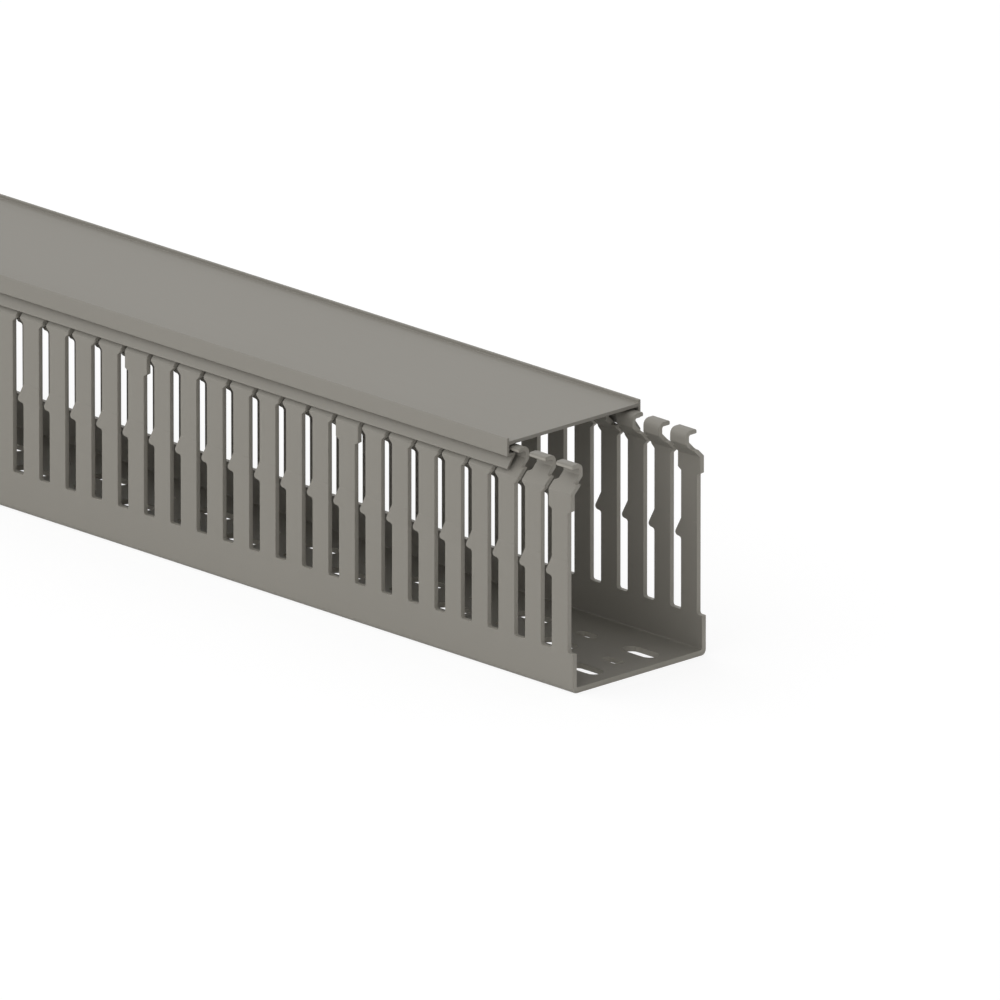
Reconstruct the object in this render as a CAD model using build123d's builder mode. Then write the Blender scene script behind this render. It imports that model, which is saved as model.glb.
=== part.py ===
from build123d import *
from math import cos, radians, sin, tan
import os

# Slotted wiring duct with its cover, in millimetres.
# X runs along the duct, Z points up, and the origin is the middle of the underside of its base.
# Heights are measured from that underside, and "in" means inward from the outer face of a side wall.

# Duct body
duct_length = 500.0
duct_width = 60.0
duct_height = 80.0
side_thickness = 1.8
base_thickness = 1.9
outer_corner_radius = 1.8

# Slots punched through both side walls, and the fingers between them
slot_pitch = 12.5
slot_width = 5.0
slot_floor_height = 13.5
slot_corner_cut = 0.5
neck_gap = 2.0
neck_start_below_lean = 0.7
neck_chamfer_rise = 1.4
shoulder_above_lean = 2.5
shoulder_rise = 0.2

# Every eighth finger is wide at its top, to mark the length in steps
marker_every = 8
marker_start_below_lean = 6.6
marker_rise = 0.9

# Nose on one edge of each finger, which keeps wires in the slot below it
nose_root_height = 38.2
nose_tip_rise = 0.4
nose_tip_face = 1.2
nose_top_rise = 5.0
nose_reach = 2.7

# Finger head: it leans in, stands up and hooks outward over the cover's ledge
lean_angle = 45.0
lean_reach = 5.3
upright_rise = 3.9
head_thickness = 1.5
hook_tip_in = 2.0
hook_corner_cut = 1.3

# Holes in the base, in rows across the duct
row_pitch = 25.0
first_row_from_end = 12.5
column_spread = 12.5
screw_slot_length = 14.5
screw_slot_width = 6.0
rivet_slot_length = 8.5
rivet_slot_width = 4.1
rivet_slot_corner_cut = 1.2

# Cover
cover_setback = 30.75
cover_clearance = 0.7
rim_rise = 1.2
plate_thickness = 1.2
cover_wall = 0.9
ledge_reach = 3.7
leg_angle = 54.0
leg_thickness = 0.8
leg_end_face = 0.55
rim_radius = 0.3

half_length = duct_length / 2
half_width = duct_width / 2
half_slot = slot_width / 2
half_neck = neck_gap / 2
slope = tan(radians(lean_angle))
lean_depth = head_thickness / cos(radians(lean_angle))

# Heights from the top down: cover plate, finger heads and the start of their lean
plate_top = duct_height - rim_rise
plate_bottom = plate_top - plate_thickness
head_top_height = plate_bottom - cover_clearance
hook_bottom_height = head_top_height - head_thickness
lean_height = head_top_height - upright_rise - lean_reach * slope

# Half of the duct's section: base, side wall and finger head
hook_in = lean_reach + head_thickness
inner_lean_height = lean_height + side_thickness * slope - lean_depth
duct_corners = [
    (0, 0),
    (half_width, 0),
    (half_width, lean_height),
    (half_width - lean_reach, lean_height + lean_reach * slope),
    (half_width - lean_reach, hook_bottom_height),
    (half_width - hook_tip_in, hook_bottom_height),
    (half_width - hook_tip_in, head_top_height),
    (half_width - hook_in + hook_corner_cut, head_top_height),
    (half_width - hook_in, head_top_height - hook_corner_cut),
    (half_width - hook_in, lean_height + hook_in * slope - lean_depth),
    (half_width - side_thickness, inner_lean_height),
    (half_width - side_thickness, base_thickness),
    (0, base_thickness),
]
duct_rounds = [outer_corner_radius if corner == (half_width, 0) else 0 for corner in duct_corners]


def edge_corners(side, has_marker):
    """Corners of one upper edge of a slot, from the bottom up, with side -1 or 1 along X."""
    if has_marker:
        lower = lean_height - marker_start_below_lean
        upper = lower + marker_rise
    else:
        upper = lean_height - neck_start_below_lean
        lower = upper - neck_chamfer_rise
    shoulder = lean_height + shoulder_above_lean
    return [
        (side * half_slot, lower),
        (side * half_neck, upper),
        (side * half_neck, shoulder),
        (side * half_slot, shoulder + shoulder_rise),
        (side * half_slot, duct_height),
    ]


def slot_outline(marker_before=False, marker_after=False, has_nose=True):
    """One slot seen from the side, open at its top, with the nose of the finger after it."""
    corners = [
        (-half_slot, slot_floor_height + slot_corner_cut),
        (-half_slot + slot_corner_cut, slot_floor_height),
        (half_slot - slot_corner_cut, slot_floor_height),
        (half_slot, slot_floor_height + slot_corner_cut),
    ]
    if has_nose:
        nose_bottom = nose_root_height + nose_tip_rise
        nose_top = nose_bottom + nose_tip_face
        corners += [
            (half_slot, nose_root_height),
            (half_slot - nose_reach, nose_bottom),
            (half_slot - nose_reach, nose_top),
            (half_slot, nose_top + nose_top_rise),
        ]
    corners += edge_corners(1, marker_after) + edge_corners(-1, marker_before)[::-1]
    with BuildSketch() as outline:
        with BuildLine():
            Polyline(*corners, close=True)
        make_face()
    return outline.sketch


# Slots are counted from the +X end, where the cut goes down the middle of slot 0, so its other
# edge, with the nose, is not there
slot_count = int(duct_length / slot_pitch) + 1
slot_places = [(half_length - slot_pitch * i, 0) for i in range(slot_count)]
plain_places = [place for i, place in enumerate(slot_places) if i % marker_every > 1]

# Rows of base holes: two screw slots and a rivet slot, then the other way round
row_count = int(duct_length / row_pitch)
row_places = [half_length - first_row_from_end - row_pitch * i for i in range(row_count)]
columns = [-column_spread, 0, column_spread]
screw_places = []
rivet_places = []
for i, x in enumerate(row_places):
    for y in columns:
        if (y == 0) == (i % 2 == 1):
            screw_places.append((x, y))
        else:
            rivet_places.append((x, y))

with BuildPart() as duct_body:
    with BuildSketch(Plane.YZ):
        with BuildLine():
            FilletPolyline(*duct_corners, radius=duct_rounds, close=True)
        make_face()
        mirror(about=Plane.YZ)
    extrude(amount=half_length, both=True)
    with BuildSketch(Plane.XZ.offset(-half_width)):
        with Locations(slot_places[0]):
            add(slot_outline(marker_before=True, has_nose=False))
        with Locations(*slot_places[marker_every::marker_every]):
            add(slot_outline(marker_before=True))
        with Locations(*slot_places[1::marker_every]):
            add(slot_outline(marker_after=True))
        with Locations(*plain_places):
            add(slot_outline())
    extrude(amount=duct_width, mode=Mode.SUBTRACT)
    with BuildSketch(Plane.XY):
        with Locations(*screw_places):
            SlotOverall(screw_slot_length, screw_slot_width)
        with BuildSketch(mode=Mode.PRIVATE) as rivet_slot:
            Rectangle(rivet_slot_length, rivet_slot_width)
            chamfer(rivet_slot.vertices(), rivet_slot_corner_cut)
        with Locations(*rivet_places):
            add(rivet_slot.sketch)
    extrude(amount=base_thickness, mode=Mode.SUBTRACT)

# Half of the cover's section: plate, rim, ledge under the hooks and slanting leg
ledge_top = hook_bottom_height - cover_clearance
ledge_bottom = ledge_top - cover_wall
ledge_end = half_width - ledge_reach
leg_slope = tan(radians(leg_angle))
leg_root = ledge_end + leg_thickness / sin(radians(leg_angle))
leg_face_top = ledge_bottom - (half_width - leg_root) * leg_slope
leg_face_bottom = leg_face_top - leg_end_face
leg_inner_end = ledge_end + (ledge_bottom - leg_face_bottom) / leg_slope
cover_corners = [
    (0, plate_top),
    (half_width - cover_wall, plate_top),
    (half_width - cover_wall, duct_height),
    (half_width, duct_height),
    (half_width, ledge_bottom),
    (leg_root, ledge_bottom),
    (half_width, leg_face_top),
    (half_width, leg_face_bottom),
    (leg_inner_end, leg_face_bottom),
    (ledge_end, ledge_bottom),
    (ledge_end, ledge_top),
    (half_width - cover_wall, ledge_top),
    (half_width - cover_wall, plate_bottom),
    (0, plate_bottom),
]
cover_rounds = [0, 0, rim_radius, rim_radius, 0, 0, 0, 0, 0, 0, rim_radius, 0, 0, 0]

with BuildPart() as snap_cover:
    with BuildSketch(Plane.YZ.offset(half_length - cover_setback)):
        with BuildLine():
            FilletPolyline(*cover_corners, radius=cover_rounds, close=True)
        make_face()
        mirror(about=Plane.YZ)
    extrude(amount=-duct_length)

duct_body.part.label = "duct_body"
snap_cover.part.label = "snap_cover"

os.makedirs("parts", exist_ok=True)
export_step(duct_body.part, "parts/duct_body.step")
export_step(snap_cover.part, "parts/snap_cover.step")
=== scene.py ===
import math
import bpy
import numpy as np
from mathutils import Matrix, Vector


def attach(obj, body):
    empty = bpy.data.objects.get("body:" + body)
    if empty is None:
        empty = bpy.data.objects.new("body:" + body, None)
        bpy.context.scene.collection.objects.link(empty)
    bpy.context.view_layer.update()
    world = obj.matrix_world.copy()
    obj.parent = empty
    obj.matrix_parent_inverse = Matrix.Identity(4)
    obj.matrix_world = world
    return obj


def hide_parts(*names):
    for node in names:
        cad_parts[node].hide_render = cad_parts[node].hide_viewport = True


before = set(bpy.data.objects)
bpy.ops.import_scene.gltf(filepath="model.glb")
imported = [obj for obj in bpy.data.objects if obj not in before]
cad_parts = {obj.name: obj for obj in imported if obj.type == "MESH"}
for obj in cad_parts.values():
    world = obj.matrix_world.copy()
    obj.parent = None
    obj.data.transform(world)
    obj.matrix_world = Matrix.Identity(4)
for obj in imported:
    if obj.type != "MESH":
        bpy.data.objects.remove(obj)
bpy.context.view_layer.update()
millimetre = 0.001


# Shared mesh helpers

snapPerMillimetre = 1e4    # sheet points that round to the same of these steps are one point
rowDigits = 5              # decimals of a millimetre to which rows of points are compared
crispAngle = 35            # an outline that turns by more degrees than this stays crisp there
mitreFloor = 0.3           # keeps the step at a very sharp corner short
rimShareMost = 0.3         # of the sheet's thickness that one rim may take


def roundedPath(corners, radii, steps):
    # The path's corners become arcs. With unit directions a into a corner and b out of it, turn t
    # between them and n the side it turns to, the arc is, for k from 0 to 1,
    # corner - a r tan(t / 2) + r (a sin(k t) + n (1 - cos(k t))).
    corner = np.array(corners, float)
    radius = np.array(radii, float)
    leg = np.diff(corner, axis=0)
    leg /= np.linalg.norm(leg, axis=1)[:, None]
    a = np.vstack([leg[:1], leg])
    b = np.vstack([leg, leg[-1:]])
    turn = np.arctan2(a[:, 0] * b[:, 1] - a[:, 1] * b[:, 0], (a * b).sum(1))
    n = np.sign(turn)[:, None] * np.stack([-a[:, 1], a[:, 0]], 1)
    k = np.linspace(0, 1, steps + 1)
    angle = np.abs(turn)[:, None, None] * k[None, :, None]
    start = corner - a * (radius * np.tan(np.abs(turn) / 2))[:, None]
    arc = a[:, None] * np.sin(angle) + n[:, None] * (1 - np.cos(angle))
    points = start[:, None] + radius[:, None, None] * arc
    return points[(radius[:, None] > 0) | (k[None, :] == 0)]


def gridQuads(rows, columns, firsts=(0,)):
    # Quads of grids stored row by row, one grid for each first index: c, c + 1, c + 1 + columns and
    # c + columns round each cell, c being its first corner.
    corner = np.arange(rows - 1)[:, None] * columns + np.arange(columns - 1)
    quad = np.stack([corner, corner + 1, corner + columns + 1, corner + columns], -1).reshape(-1, 4)
    return (np.array(firsts)[:, None, None] + quad).reshape(-1, 4)


def mergeSheet(blocks):
    # Joins flat blocks of (points, quads) into one sheet: points at the same place become one point.
    points = np.concatenate([p for p, _ in blocks])
    starts = np.cumsum([0] + [len(p) for p, _ in blocks])
    quads = np.concatenate([q + s for (_, q), s in zip(blocks, starts)])
    key = np.round(points * snapPerMillimetre).astype(np.int64)
    _, first, same = np.unique(key, axis=0, return_index=True, return_inverse=True)
    return points[first], same.reshape(-1)[quads]


def sheetEdges(quads):
    # Directed edges that only one quad uses: the outline of the sheet and of its holes, material on
    # their left.
    edge = np.stack([quads, np.roll(quads, -1, axis=1)], -1).reshape(-1, 2)
    size = quads.max() + 1
    there = edge[:, 0] * size + edge[:, 1]
    back = edge[:, 1] * size + edge[:, 0]
    return edge[~np.isin(there, back)]


def mitres(points, edge):
    # Outward step at each outline point that moves both of its edges out by 1: (m + n) / (1 + m.n),
    # with m and n the outward unit normals of the edge before and after it.
    along = points[edge[:, 1]] - points[edge[:, 0]]
    normal = np.stack([along[:, 1], -along[:, 0]], 1) / np.linalg.norm(along, axis=1)[:, None]
    before, after = np.zeros_like(points), np.zeros_like(points)
    before[edge[:, 1]] = normal
    after[edge[:, 0]] = normal
    together = 1 + (before * after).sum(1)
    return (before + after) / np.maximum(together, mitreFloor)[:, None]


def cornerPoints(points, edge):
    # Outline points where the outline turns by more than crispAngle: the product of the unit directions
    # in and out is below its cosine.
    along = points[edge[:, 1]] - points[edge[:, 0]]
    heading = np.zeros((2, len(points), 2))
    heading[0, edge[:, 1]] = along / np.linalg.norm(along, axis=1)[:, None]
    heading[1, edge[:, 0]] = heading[0, edge[:, 1]]
    turned = (heading[0] * heading[1]).sum(1) < math.cos(math.radians(crispAngle))
    return np.intersect1d(np.flatnonzero(turned), edge[:, 0])


def shellFromSheet(points, quads, place, thickness, rim):
    # Thickens a flat sheet: place(point, f) puts a sheet point on the outer face at f = 0 and on the
    # inner face at f = 1. Each outline edge gets a side wall whose two edges are cut back by rim. Also
    # returns the edges to keep crisp, and for each point how much of it is cut: 0 on the two faces, 1
    # on the side walls.
    edge = sheetEdges(quads)
    inset = points - rim * mitres(points, edge)
    outline = np.unique(edge)
    number = np.zeros(len(points), int)
    number[outline] = np.arange(len(outline))
    side = points[outline]
    share = np.minimum(rim / thickness(side), rimShareMost)
    count, ring = len(points), len(outline)
    made = [place(inset, np.zeros(count)), place(inset, np.ones(count))]
    made += [place(side, share), place(side, 1 - share)]
    low, high = edge, edge + count
    lower = number[edge] + 2 * count
    upper = lower + ring
    faces = [quads[:, ::-1], quads + count]
    for below, above in ((low, lower), (lower, upper), (upper, high)):
        faces.append(np.stack([below[:, 0], below[:, 1], above[:, 1], above[:, 0]], 1))
    corner = cornerPoints(points, edge)
    ladder = [corner, number[corner] + 2 * count, number[corner] + 2 * count + ring, corner + count]
    crisp = np.concatenate([np.stack(pair, 1) for pair in zip(ladder, ladder[1:])])
    cut = np.repeat([0.0, 1.0], [2 * count, 2 * ring])
    return np.concatenate(made), np.concatenate(faces), crisp, cut


def markCrisp(mesh, pairs):
    # Marks the mesh's edges between these pairs of points as sharp. A pair is known by its lower point
    # times the number of points, plus its higher point.
    ends = np.zeros(len(mesh.edges) * 2, np.int32)
    mesh.edges.foreach_get("vertices", ends)
    size = len(mesh.vertices)
    have = np.sort(ends.reshape(-1, 2).astype(np.int64), axis=1) @ np.array([size, 1])
    want = np.sort(pairs, axis=1) @ np.array([size, 1])
    mesh.edges.foreach_set("use_edge_sharp", np.isin(have, want))


def makePiece(name, points, faces, crisp, cut, body, node, material):
    # A smooth mesh from faces and points in millimetres, on its CAD body in place of its CAD node.
    mesh = bpy.data.meshes.new(name)
    mesh.vertices.add(len(points))
    mesh.vertices.foreach_set("co", (points * millimetre).ravel())
    sizes = np.array([len(f) for f in faces])
    mesh.loops.add(int(sizes.sum()))
    around = np.concatenate([np.asarray(f) for f in faces])
    mesh.loops.foreach_set("vertex_index", around.astype(np.int32))
    mesh.polygons.add(len(faces))
    starts = np.concatenate([[0], np.cumsum(sizes)[:-1]])
    mesh.polygons.foreach_set("loop_start", starts.astype(np.int32))
    mesh.polygons.foreach_set("use_smooth", np.ones(len(faces), bool))
    mesh.update(calc_edges=True)
    markCrisp(mesh, crisp)
    # The cut attribute sets how much painted light, a paler colour, each point gets
    mesh.attributes.new("cut", "FLOAT", "POINT").data.foreach_set("value", cut)
    piece = bpy.data.objects.new(name, mesh)
    bpy.context.scene.collection.objects.link(piece)
    even = piece.modifiers.new("evenNormals", "WEIGHTED_NORMAL")
    even.weight = 100
    even.keep_sharp = True
    piece.data.materials.append(material)
    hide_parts(node)
    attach(piece, body)
    print(name, len(points), "points,", int((sizes - 2).sum()), "triangles")


# Shader maths

class Sock:
    # One output socket; + - * on it, or on a number and it, add a Math node.
    def __init__(self, tree, socket):
        self.tree, self.socket = tree, socket

    def maths(self, operation, a, b):
        return self.tree.node("ShaderNodeMath", {"operation": operation}, {0: a, 1: b})

    def __add__(self, other):
        return self.maths("ADD", self, other)

    def __radd__(self, other):
        return self.maths("ADD", other, self)

    def __sub__(self, other):
        return self.maths("SUBTRACT", self, other)

    def __rsub__(self, other):
        return self.maths("SUBTRACT", other, self)

    def __mul__(self, other):
        return self.maths("MULTIPLY", self, other)

    def __rmul__(self, other):
        return self.maths("MULTIPLY", other, self)


class Tree:
    # A node tree to build in: node() takes a type, its settings, then its sockets' values or links.
    def __init__(self, owner):
        owner.use_nodes = True
        self.nodes, self.links = owner.node_tree.nodes, owner.node_tree.links
        self.nodes.clear()

    def node(self, kind, settings=None, inputs=None, output=0):
        made = self.nodes.new(kind)
        for name, value in (settings or {}).items():
            setattr(made, name, value)
        for name, value in (inputs or {}).items():
            if isinstance(value, Sock):
                self.links.new(value.socket, made.inputs[name])
            else:
                made.inputs[name].default_value = value
        return Sock(self, made.outputs[output]) if made.outputs else None

    def mixColour(self, factor, a, b):
        settings = {"data_type": "RGBA"}
        return self.node("ShaderNodeMix", settings, {0: factor, 6: a, 7: b}, 2)


# Rigid PVC, the stuff of both extrusions

pvc = dict(
    colour=(0.238, 0.225, 0.197),
    palerColour=(0.252, 0.239, 0.211),
    cutPaintedLightColour=(0.369, 0.349, 0.305),   # painted light: cut faces made paler to stand in for light on them, a little of it punched PVC's own paler look
    roughness=0.50,
    roughnessSwing=0.10,
    gloss=0.25,
    cloudScale=14.0,       # broad cloudiness of the pigment, per metre
    cloudDetail=3.0,
    cloudShare=0.7,        # of the colour's change, the rest being the lines'
    drawLineScale=900.0,   # fine lines left by the die, across the section
    drawLineStretch=0.004,  # how little those lines change along the length
    grainScale=5200.0,
    fineDetail=2.0,        # of the lines and the grain
    lineHeight=0.000012,   # of the lines and the grain in the bump, in metres
    grainHeight=0.000006,
)


def pvcMaterial(name, p):
    # Warm grey vinyl: a slow cloud in the colour, die lines that run along X, and a fine matt grain.
    # The roughness swings with the mean of lines and grain, less a half, and both make the bump.
    material = bpy.data.materials.new(name)
    t = Tree(material)
    here = t.node("ShaderNodeTexCoord", output=3)
    stretch = (p["drawLineStretch"], 1, 1)
    stretched = t.node("ShaderNodeVectorMath", {"operation": "MULTIPLY"}, {0: here, 1: stretch})

    def noise(place, scale, detail):
        return t.node("ShaderNodeTexNoise", None, {"Vector": place, "Scale": p[scale], "Detail": p[detail]})

    cloud = noise(here, "cloudScale", "cloudDetail")
    lines = noise(stretched, "drawLineScale", "fineDetail")
    grain = noise(here, "grainScale", "fineDetail")
    shade = cloud * p["cloudShare"] + lines * (1 - p["cloudShare"])
    colour = t.mixColour(shade, (*p["colour"], 1), (*p["palerColour"], 1))
    # Painted light: the cut attribute mixes the paler cut colour onto the duct's sawn and punched faces
    cut = t.node("ShaderNodeAttribute", {"attribute_name": "cut"}, output=2)
    colour = t.mixColour(cut, colour, (*p["cutPaintedLightColour"], 1))
    roughness = (lines * 0.5 + grain * 0.5 - 0.5) * p["roughnessSwing"] + p["roughness"]
    height = lines * p["lineHeight"] + grain * p["grainHeight"]
    bump = t.node("ShaderNodeBump", None, {"Height": height, "Strength": 1.0, "Distance": 1.0})
    shader = t.node("ShaderNodeBsdfPrincipled", None, {
        "Base Color": colour,
        "Roughness": roughness,
        "Normal": bump,
        "Specular IOR Level": p["gloss"],
    })
    t.node("ShaderNodeOutputMaterial", None, {"Surface": shader})
    return material


ductPvc = pvcMaterial("ductPvc", pvc)
coverPvc = pvcMaterial("coverPvc", pvc)
print("materials made")


# The duct: one bent sheet with slots, fingers and base holes

duct = dict(
    length=500.0,
    width=60.0,
    baseThickness=1.9,
    wallThickness=1.8,
    headThickness=1.5,
    baseCornerOut=1.8,     # radii of the section's bends, outer then inner face
    baseCornerIn=0.4,
    baseStripIn=11.0,      # from the wall's outer face to a row of points on the flat base
    wallStripTop=5.0,      # height of the first row of points on the plain wall
    leanStart=67.7,        # height where the finger heads start to lean in at 45 degrees
    leanReach=5.3,
    leanLead=0.7,          # from the last row of points on the upright wall up to the lean
    leanRows=(1.7, 4.0),   # heights above the lean's start where both faces have a row
    uprightRow=1.1,        # height above the lean's end where both faces have a row
    leanBendOut=0.35,
    leanBendIn=0.5,
    throatBendOut=0.5,
    throatBendIn=0.8,
    hookTop=76.9,
    hookBendUnder=0.7,
    hookBendTop=2.2,
    tipIn=2.0,             # hook tip, inward from the wall's outer face
    tipBendUnder=0.2,
    tipBendTop=0.6,
    tipFlat=0.02,          # of the hook's end face past each of its bends
    rim=0.10,              # softness of the punched edges
    slotPaintedLightShare=0.55,     # share of the painted light on cut faces above the slots' floor, against the base holes and ends below it
    bendSteps=4,
    pitch=12.5,
    slotWidth=5.0,
    slotFloor=13.5,
    slotCorner=0.8,
    slotCornerSteps=3,
    neckGap=2.0,
    neckFoot=65.6,
    neckStart=67.0,
    shoulder=70.2,
    shoulderRise=0.2,
    shoulderRound=0.45,
    shoulderRootRound=0.5,
    rootRoom=1.0,          # height above the shoulder that its root's round has room in
    markerEvery=8,
    markerFoot=61.1,
    markerRise=0.9,
    noseRoot=38.2,
    noseTip=38.6,
    noseTop=44.8,
    noseReach=3.35,        # to the sharp tip, before it is rounded
    noseRound=1.1,
    noseRootRound=0.9,
    noseTopRound=0.7,
    fingerSpans=2,         # quads across a finger
    cellSpans=8,           # quads along the long sides of a base hole's cell
    cellEndSpans=4,
    rowPitch=25.0,
    columnSpread=12.5,
    screwSlot=(14.5, 6.0),
    rivetSlot=(8.5, 4.1),
)


def sectionTable(d):
    # Stations round half the section, from the middle of the base to the hook's tip: the distance w
    # along the sheet, then (in from the wall's outer face, height) of both faces. w is half the width
    # plus the height, less the way in below wallStripTop, so it is y on the base. From uprightRow on it
    # grows by the length of the sheet's middle line.
    half = d["width"] / 2
    wall, base, head = d["wallThickness"], d["baseThickness"], d["headThickness"]
    depth = head * math.sqrt(2)                      # the leaning sheet, measured upright
    leanIn = d["leanStart"] + wall - depth           # where the inner face starts to lean
    throat = d["leanStart"] + d["leanReach"]
    throatIn = d["leanStart"] + d["leanReach"] + head - depth
    under = d["hookTop"] - head
    back = d["leanReach"] + head
    stripIn, stripTop = d["baseStripIn"], d["wallStripTop"]
    upright = d["leanStart"] - d["leanLead"]
    levelLow, levelHigh = (d["leanStart"] + rise for rise in d["leanRows"])
    counted = throat + d["uprightRow"]
    outer = [
        (half, 0), (stripIn, 0), (0, 0), (0, stripTop), (0, upright), (0, d["leanStart"]),
        (levelLow - d["leanStart"], levelLow), (levelHigh - d["leanStart"], levelHigh),
        (d["leanReach"], throat), (d["leanReach"], counted), (d["leanReach"], under),
        (d["tipIn"], under), (d["tipIn"], under + d["tipBendUnder"] + d["tipFlat"]),
    ]
    inner = [
        (half, base), (stripIn, base), (wall, base), (wall, stripTop), (wall, upright), (wall, leanIn),
        (wall + levelLow - leanIn, levelLow), (wall + levelHigh - leanIn, levelHigh),
        (back, throatIn), (back, counted), (back, d["hookTop"]),
        (d["tipIn"], d["hookTop"]), (d["tipIn"], d["hookTop"] - d["tipBendTop"] - d["tipFlat"]),
    ]
    outerRadii = [0, 0, d["baseCornerOut"], 0, 0, d["leanBendOut"], 0, 0, d["throatBendOut"], 0,
                  d["hookBendUnder"], d["tipBendUnder"], 0]
    innerRadii = [0, 0, d["baseCornerIn"], 0, 0, d["leanBendIn"], 0, 0, d["throatBendIn"], 0,
                  d["hookBendTop"], d["tipBendTop"], 0]
    outerPath = roundedPath(outer, outerRadii, d["bendSteps"])
    innerPath = roundedPath(inner, innerRadii, d["bendSteps"])
    into, height = outerPath.T
    onBase = half + height - into
    onWall = half + height
    middle = (outerPath + innerPath) / 2
    travel = np.concatenate([[0], np.cumsum(np.linalg.norm(np.diff(middle, axis=0), axis=1))])
    last = int(np.argmax(height >= counted))         # the last station that is counted by its height
    w = np.where(height < stripTop, onBase, onWall)
    w[last:] = onWall[last] + travel[last:] - travel[last]
    return w, outerPath, innerPath


def ductPlacer(d, table):
    # The two functions that shellFromSheet asks for: a sheet point's place, and the thickness there.
    w, outerPath, innerPath = table
    half = d["width"] / 2

    def faces(points):
        # Both faces at a sheet point, by straight lines between the stations.
        at = np.abs(points[:, 1])
        paths = (outerPath, innerPath)
        return [np.stack([np.interp(at, w, path[:, i]) for i in (0, 1)], 1) for path in paths]

    def place(points, share):
        # (x, w) goes to x, and to the point a share of the way from the outer to the inner face; -w is
        # on the -Y side.
        out, inn = faces(points)
        mixed = out + (inn - out) * share[:, None]
        onSide = np.where(points[:, 1] < 0, -1.0, 1.0)
        return np.stack([points[:, 0], onSide * (half - mixed[:, 0]), mixed[:, 1]], 1)

    def thickness(points):
        out, inn = faces(points)
        return np.linalg.norm(inn - out, axis=1)

    return place, thickness


def slotEdge(d, marker, nose):
    # Half gap of a slot against height, from its floor up, as a rounded path (gap, height).
    slotHalf, neckHalf = d["slotWidth"] / 2, d["neckGap"] / 2
    low = d["slotFloor"] + d["slotCorner"]
    corners, radii = [(slotHalf, low)], [0]
    if nose:
        tip = slotHalf - d["noseReach"]
        corners += [(slotHalf, d["noseRoot"]), (tip, d["noseTip"]), (slotHalf, d["noseTop"])]
        radii += [d["noseRootRound"], d["noseRound"], d["noseTopRound"]]
    if marker:
        corners += [(slotHalf, d["markerFoot"]), (neckHalf, d["markerFoot"] + d["markerRise"])]
    else:
        corners += [(slotHalf, d["neckFoot"]), (neckHalf, d["neckStart"])]
    radii += [0, 0]
    corners += [(neckHalf, d["shoulder"]), (slotHalf, d["shoulder"] + d["shoulderRise"])]
    corners += [(slotHalf, d["shoulder"] + d["rootRoom"])]
    radii += [d["shoulderRound"], d["shoulderRootRound"], 0]
    return roundedPath(corners, radii, d["bendSteps"])


def fingerBlock(d, w):
    # All fingers of one wall: a point is left + (right - left) u on each row, left and right being the
    # edges. The rows are those of the slots' edges, without the last, and those of the section above
    # the slots' bottom corners.
    half = d["width"] / 2
    edges = {(m, n): slotEdge(d, m, n) for m in (False, True) for n in (False, True)}
    heights = np.concatenate([e[:, 1] for e in edges.values()])
    edgeRows = heights[heights < heights.max()] + half
    sectionRows = w[w > heights.min() + half]
    rows = np.unique(np.round(np.concatenate([edgeRows, sectionRows]), rowDigits))
    level = rows - half
    count = int(d["length"] / d["pitch"])
    finger = np.arange(count)
    slotAt = d["length"] / 2 - d["pitch"] * np.arange(count + 1)
    isMarker = finger % d["markerEvery"] == 0

    def gaps(nose):
        # Gap of each finger's edge on each row, one line of gaps per finger.
        lines = [np.interp(level, edges[m, nose][:, 1], edges[m, nose][:, 0]) for m in (False, True)]
        return np.where(isMarker[:, None], lines[1], lines[0])

    right = slotAt[:-1, None] - gaps(False)
    left = np.maximum(slotAt[1:, None] + gaps(True), -d["length"] / 2)
    u = np.linspace(0, 1, d["fingerSpans"] + 1)
    x = left[..., None] + (right - left)[..., None] * u
    points = np.stack([x, np.broadcast_to(rows[None, :, None], x.shape)], -1)
    firsts = finger * len(rows) * len(u)
    return points.reshape(-1, 2), gridQuads(len(rows), len(u), firsts)


def pitchColumns(d):
    # Places across one pitch, from the middle of a slot to the middle of the next: the slot's floor,
    # its corner at flat + r sin(turn), and the finger.
    flat = d["slotWidth"] / 2 - d["slotCorner"]
    turn = np.linspace(0, np.pi / 2, d["slotCornerSteps"] + 1)
    near = np.concatenate([[0], flat + d["slotCorner"] * np.sin(turn)])
    finger = np.linspace(d["slotWidth"] / 2, d["pitch"] - d["slotWidth"] / 2, d["fingerSpans"] + 1)[1:-1]
    return np.concatenate([near, finger, (d["pitch"] - near)[::-1]])


def bandBlock(d, w, count, start):
    # The solid band below the slots: columns over count pitches, rows from the base strip up to the
    # slots' floor, whose height over a slot is floor + r - sqrt(r^2 - (m - flat)^2), m being the
    # distance from the slot's middle.
    half, r = d["width"] / 2, d["slotCorner"]
    across = pitchColumns(d)
    columns = (np.arange(count)[:, None] * d["pitch"] + across[:-1]).ravel()
    x = np.concatenate([columns, [count * d["pitch"]]]) + start
    step = np.concatenate([np.tile(across[:-1], count), [0]])
    m = np.minimum(step, d["pitch"] - step)
    flat = d["slotWidth"] / 2 - r
    into = np.clip(m - flat, 0, r)
    top = half + d["slotFloor"] + r - np.sqrt(r * r - into * into)
    strip = d["columnSpread"] * 1.5                   # the outer edge of the outer base holes' cells
    below = w[(w > strip) & (w <= half + d["wallStripTop"])]
    rows = np.concatenate([[strip], below])
    y = np.concatenate([np.broadcast_to(rows[:, None], (len(rows), len(x))), top[None]])
    points = np.stack([np.broadcast_to(x, y.shape), y], -1)
    return points.reshape(-1, 2), gridQuads(len(rows) + 1, len(x))


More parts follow.
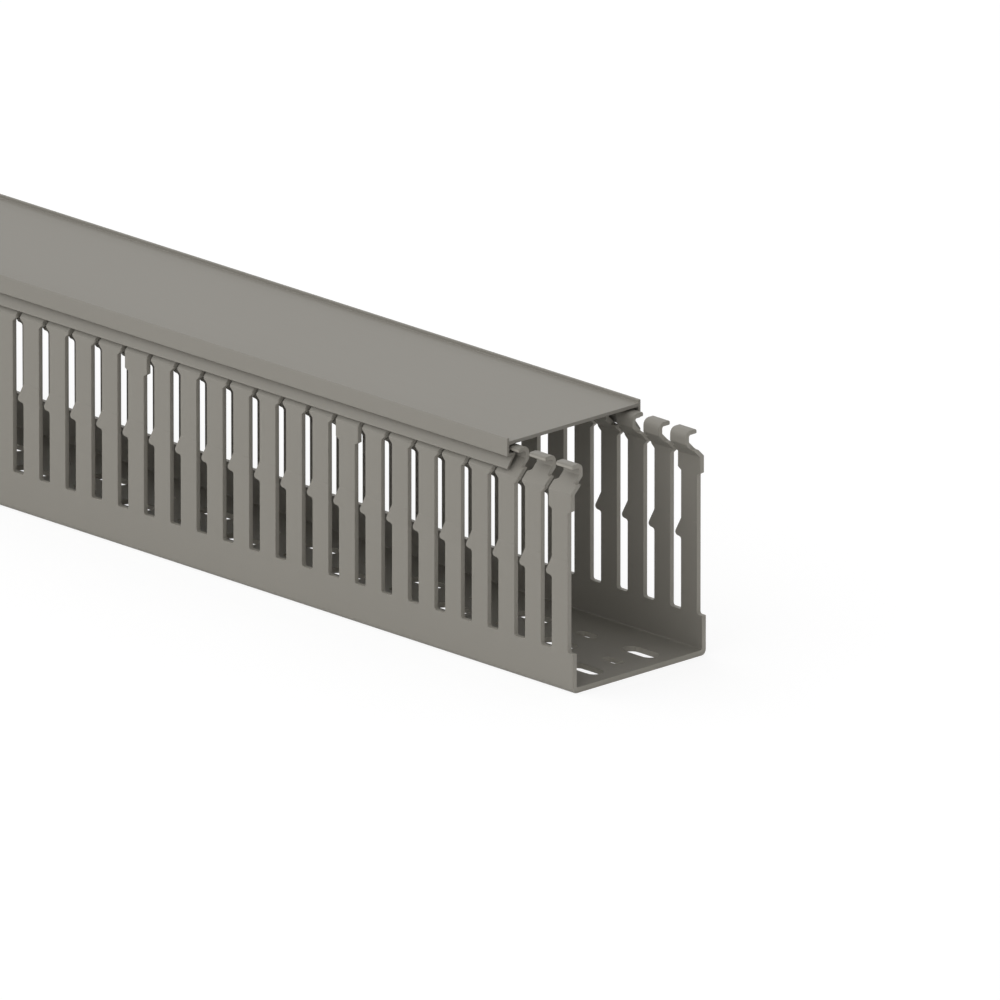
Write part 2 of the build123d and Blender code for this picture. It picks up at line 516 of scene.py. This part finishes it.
def slotOutline(size, sides):
    # A round-ended hole, counter-clockwise from lower left; each of the four sides gets its share of
    # the outline, sides being the shares from 0 to 1 at which it is sampled. A point of a round end is
    # the end's centre plus r (cos, sin) of its direction.
    length, width = size
    r = width / 2
    run = length - width
    arc = r * np.pi / 4
    points = []
    for turn, share in enumerate(sides):
        if turn % 2 == 0:                            # long side: eighth arc, straight run, eighth arc
            s = share * (2 * arc + run)
            after = np.where(s > arc + run, (s - arc - run) / r, 0.0)
            angle = np.where(s < arc, -np.pi / 4 + s / r, after)
            slide = np.clip(s - arc, 0, run) - run / 2
            x, y = slide + r * np.sin(angle), -r * np.cos(angle)
        else:                                        # short side: the quarter arc of the end
            angle = -np.pi / 4 + share * np.pi / 2
            x, y = run / 2 + r * np.cos(angle), r * np.sin(angle)
        points.append(np.stack([x, y], 1) * (1 if turn < 2 else -1))
    return np.concatenate(points)


def baseBlock(d, size, places, bottom, top, ends):
    # For each place a ring of quads from the edge of its cell to the outline of its hole. bottom, top
    # and ends are the shares from 0 to 1 at which the cell's sides and the hole's are divided.
    long, short = d["rowPitch"] / 2, d["columnSpread"] / 2
    sides = [bottom[:-1], ends[:-1], 1 - top[:0:-1], ends[:-1]]
    hole = slotOutline(size, sides)
    edge = np.concatenate([
        np.stack([long * (2 * sides[0] - 1), np.full(len(sides[0]), -short)], 1),
        np.stack([np.full(len(sides[1]), long), short * (2 * sides[1] - 1)], 1),
        np.stack([long * (1 - 2 * sides[2]), np.full(len(sides[2]), short)], 1),
        np.stack([np.full(len(sides[3]), -long), short * (1 - 2 * sides[3])], 1),
    ])
    count = len(hole)
    rings = np.stack([edge, hole])
    points = np.array(places)[:, None, None] + rings
    i = np.arange(count)
    j = (i + 1) % count
    quad = np.stack([i, j, j + count, i + count], 1)
    firsts = np.arange(len(places)) * 2 * count
    return points.reshape(-1, 2), (firsts[:, None, None] + quad).reshape(-1, 4)


def mirrored(block):
    # The same block on the -Y side: w becomes -w, and each quad runs the other way round.
    points, quads = block
    return points * np.array([1, -1]), quads[:, ::-1]


def makeDuct(d):
    # Fingers, bands and base holes as one flat sheet, which is then bent to the section and thickened.
    table = sectionTable(d)
    w = table[0]
    place, thickness = ductPlacer(d, table)
    fingers = fingerBlock(d, w)
    band = bandBlock(d, w, int(d["length"] / d["pitch"]), -d["length"] / 2)
    blocks = [fingers, mirrored(fingers), band, mirrored(band)]
    rows = int(d["length"] / d["rowPitch"])
    rowAt = d["length"] / 2 - d["rowPitch"] * (np.arange(rows) + 0.5)
    across = pitchColumns(d) / d["rowPitch"]
    fine = np.concatenate([across[:-1], across + d["pitch"] / d["rowPitch"]])
    coarse, ends = (np.linspace(0, 1, d[spans] + 1) for spans in ("cellSpans", "cellEndSpans"))
    sizes = (d["screwSlot"], d["rivetSlot"])
    for odd in (0, 1):
        at = rowAt[odd::2]
        outerSize, middleSize = sizes[odd], sizes[1 - odd]
        outerCells = baseBlock(d, outerSize, [(x, d["columnSpread"]) for x in at], coarse, fine, ends)
        blocks += [outerCells, mirrored(outerCells)]
        blocks.append(baseBlock(d, middleSize, [(x, 0) for x in at], coarse, coarse, ends))
    points, quads = mergeSheet(blocks)
    made, faces, crisp, cut = shellFromSheet(points, quads, place, thickness, d["rim"])
    # Painted light: cut faces below the slots' floor (base holes and ends) get all of the paler cut colour,
    # the slots' sides only a share
    cut *= np.where(made[:, 2] < d["slotFloor"] - 2 * d["rim"], 1.0, d["slotPaintedLightShare"])
    makePiece("ductBody", made, faces, crisp, cut, "duct", "duct_body", ductPvc)


makeDuct(duct)


# The cover: one closed section, extruded

cover = dict(
    length=500.0,
    nearEnd=219.25,        # X of the end that is slid back
    halfWidth=30.0,
    rimTop=80.0,
    plateTop=78.8,
    plateBottom=77.6,
    wall=0.9,
    ledgeTop=74.7,
    ledgeBottom=73.8,
    ledgeIn=3.7,
    legAngle=54.0,
    legThickness=0.8,
    legFace=0.55,          # upright face at the leg's tip, flush with the rim
    outerRound=0.3,
    innerRound=0.2,
    legRound=0.1,
    endRim=0.04,
    bendSteps=3,
)


def makeCover(c):
    # The section's outline is carried along X; its two ends are cut back by endRim. The sawn ends get no
    # painted light, so no point counts as cut.
    half, wall = c["halfWidth"], c["wall"]
    ledgeEnd = half - c["ledgeIn"]
    slope = math.tan(math.radians(c["legAngle"]))
    legRoot = ledgeEnd + c["legThickness"] / math.sin(math.radians(c["legAngle"]))
    faceTop = c["ledgeBottom"] - (half - legRoot) * slope
    tipZ = faceTop - c["legFace"]
    tipY = ledgeEnd + (c["ledgeBottom"] - tipZ) / slope
    r, q, tip = c["outerRound"], c["innerRound"], c["legRound"]
    profile = [
        (0, c["plateTop"], 0), (half - wall, c["plateTop"], q), (half - wall, c["rimTop"], r),
        (half, c["rimTop"], r), (half, c["ledgeBottom"], r),
        (legRoot, c["ledgeBottom"], q), (half, faceTop, tip), (half, tipZ, tip),
        (tipY, tipZ, tip), (ledgeEnd, c["ledgeBottom"], q), (ledgeEnd, c["ledgeTop"], q),
        (half - wall, c["ledgeTop"], q), (half - wall, c["plateBottom"], q), (0, c["plateBottom"], 0),
    ]
    side = roundedPath([p[:2] for p in profile], [p[2] for p in profile], c["bendSteps"])
    other = (side * np.array([-1, 1]))[::-1][1:-1]
    loop = np.concatenate([side, other])             # clockwise seen from +X, in (y, z)
    count = len(loop)
    edge = np.stack([np.arange(count), (np.arange(count) + 1) % count], 1)
    inset = loop + c["endRim"] * mitres(loop, edge)
    near, far = c["nearEnd"], c["nearEnd"] - c["length"]
    rings = [(near, inset), (near - c["endRim"], loop), (far + c["endRim"], loop), (far, inset)]
    points = np.concatenate([np.column_stack([np.full(count, x), yz]) for x, yz in rings])
    i, j = edge.T
    starts = np.arange(len(rings) - 1) * count
    walls = [np.stack([i + k, j + k, j + k + count, i + k + count], 1) for k in starts]
    nearCap, farCap = np.arange(count)[::-1], np.arange(count) + starts[-1] + count
    faces = [*np.concatenate(walls), nearCap, farCap]
    corner = cornerPoints(loop, edge[:, ::-1])
    crisp = np.concatenate([np.stack([corner + k, corner + k + count], 1) for k in starts])
    cut = np.zeros(len(points))
    makePiece("snapCover", points, faces, crisp, cut, "cover", "snap_cover", coverPvc)


makeCover(cover)


# Camera, floor and light

shot = dict(
    azimuth=46.227,
    elevation=18.105,
    halfAngle=0.62,        # a very long lens, because the picture has almost no perspective
    aim=(0.215843, -0.030004, 0.058267),
    distance=14.9819,
    sensor=36.0,
    clipping=(1.0, 200.0),
)


def makeCamera(s):
    # The lens is half the sensor over the tangent of the half angle; the camera stands back from its
    # aim along (sin a cos e, -cos a cos e, sin e), a and e being azimuth and elevation.
    data = bpy.data.cameras.new("camera")
    data.sensor_width = s["sensor"]
    data.lens = s["sensor"] / 2 / math.tan(math.radians(s["halfAngle"]))
    data.clip_start, data.clip_end = s["clipping"]
    camera = bpy.data.objects.new("camera", data)
    bpy.context.scene.collection.objects.link(camera)
    a, e = math.radians(s["azimuth"]), math.radians(s["elevation"])
    back = Vector((math.sin(a) * math.cos(e), -math.cos(a) * math.cos(e), math.sin(e)))
    camera.rotation_mode = "QUATERNION"
    camera.rotation_quaternion = back.to_track_quat("Z", "Y")
    camera.location = Vector(s["aim"]) + back * s["distance"]
    bpy.context.scene.camera = camera


studio = dict(
    floorSize=60.0,
    floorColour=(0.90, 0.90, 0.90),
    floorShadow=0.20,      # how much of the floor's own shading the camera sees
    floorLevel=1.06,       # of the plain white that makes up the rest, which only the camera sees
    horizonSky=1.155,
    sideFall=0.73,         # how much dimmer the sky gets towards +X, and brighter towards -X
    backFall=0.16,         # how much dimmer it gets towards +Y
    upperFall=0.35,        # how much dimmer it gets upwards, and how much more so towards +X and +Y
    upperSideFall=0.16,
    upperBackFall=0.43,
    skyColour=(1.0, 1.0, 1.0),
    sunPower=0.10,
    sunFrom=(-0.45, 0.10, 0.80),
    sunSpread=40.0,
)


def makeStudio(s):
    # The sky's level in direction (x, y, z) is horizonSky - sideFall x - backFall y
    # - max(z, 0) (upperFall + upperSideFall x + upperBackFall y). The camera, and rays that a gloss or
    # a clear stuff sends on, see plain white instead.
    half = s["floorSize"] / 2
    mesh = bpy.data.meshes.new("floor")
    corners = [(-half, -half, 0), (half, -half, 0), (half, half, 0), (-half, half, 0)]
    mesh.from_pydata(corners, [], [(0, 1, 2, 3)])
    floor = bpy.data.objects.new("floor", mesh)
    bpy.context.scene.collection.objects.link(floor)
    material = bpy.data.materials.new("floorWhite")
    t = Tree(material)
    seen = t.node("ShaderNodeLightPath", output="Is Camera Ray")
    matt = t.node("ShaderNodeBsdfDiffuse", None, {"Color": (*s["floorColour"], 1)})
    bright = t.node("ShaderNodeEmission", None, {"Color": (1, 1, 1, 1), "Strength": s["floorLevel"]})
    share = seen * (1 - s["floorShadow"])
    shown = t.node("ShaderNodeMixShader", None, {0: share, 1: matt, 2: bright})
    t.node("ShaderNodeOutputMaterial", None, {"Surface": shown})
    mesh.materials.append(material)

    world = bpy.data.worlds.new("studio")
    bpy.context.scene.world = world
    w = Tree(world)
    path = w.node("ShaderNodeLightPath", output="Is Camera Ray")
    glossy = w.node("ShaderNodeLightPath", output="Is Glossy Ray")
    clear = w.node("ShaderNodeLightPath", output="Is Transmission Ray")
    either = w.node("ShaderNodeMath", {"operation": "MAXIMUM"}, {0: path, 1: glossy})
    either = w.node("ShaderNodeMath", {"operation": "MAXIMUM"}, {0: either, 1: clear})
    towards = w.node("ShaderNodeTexCoord")
    parts = (w.node("ShaderNodeSeparateXYZ", None, {0: towards}, i) for i in range(3))
    towardsX, towardsY, towardsZ = parts
    overhead = w.node("ShaderNodeMath", {"operation": "MAXIMUM"}, {0: towardsZ, 1: 0.0})
    upper = towardsX * s["upperSideFall"] + towardsY * s["upperBackFall"] + s["upperFall"]
    level = s["horizonSky"] - towardsX * s["sideFall"] - towardsY * s["backFall"] - overhead * upper
    soft = w.node("ShaderNodeBackground", None, {"Color": (*s["skyColour"], 1), "Strength": level})
    white = w.node("ShaderNodeBackground", None, {"Color": (1, 1, 1, 1), "Strength": 1.0})
    mixed = w.node("ShaderNodeMixShader", None, {0: either, 1: soft, 2: white})
    w.node("ShaderNodeOutputWorld", None, {"Surface": mixed})

    lamp = bpy.data.lights.new("softKey", "SUN")
    lamp.energy = s["sunPower"]
    lamp.angle = math.radians(s["sunSpread"])
    key = bpy.data.objects.new("softKey", lamp)
    bpy.context.scene.collection.objects.link(key)
    key.rotation_mode = "QUATERNION"
    key.rotation_quaternion = Vector(s["sunFrom"]).to_track_quat("Z", "Y")


makeCamera(shot)
makeStudio(studio)
bpy.context.scene.view_settings.view_transform = "Standard"
print("camera, floor and light made")
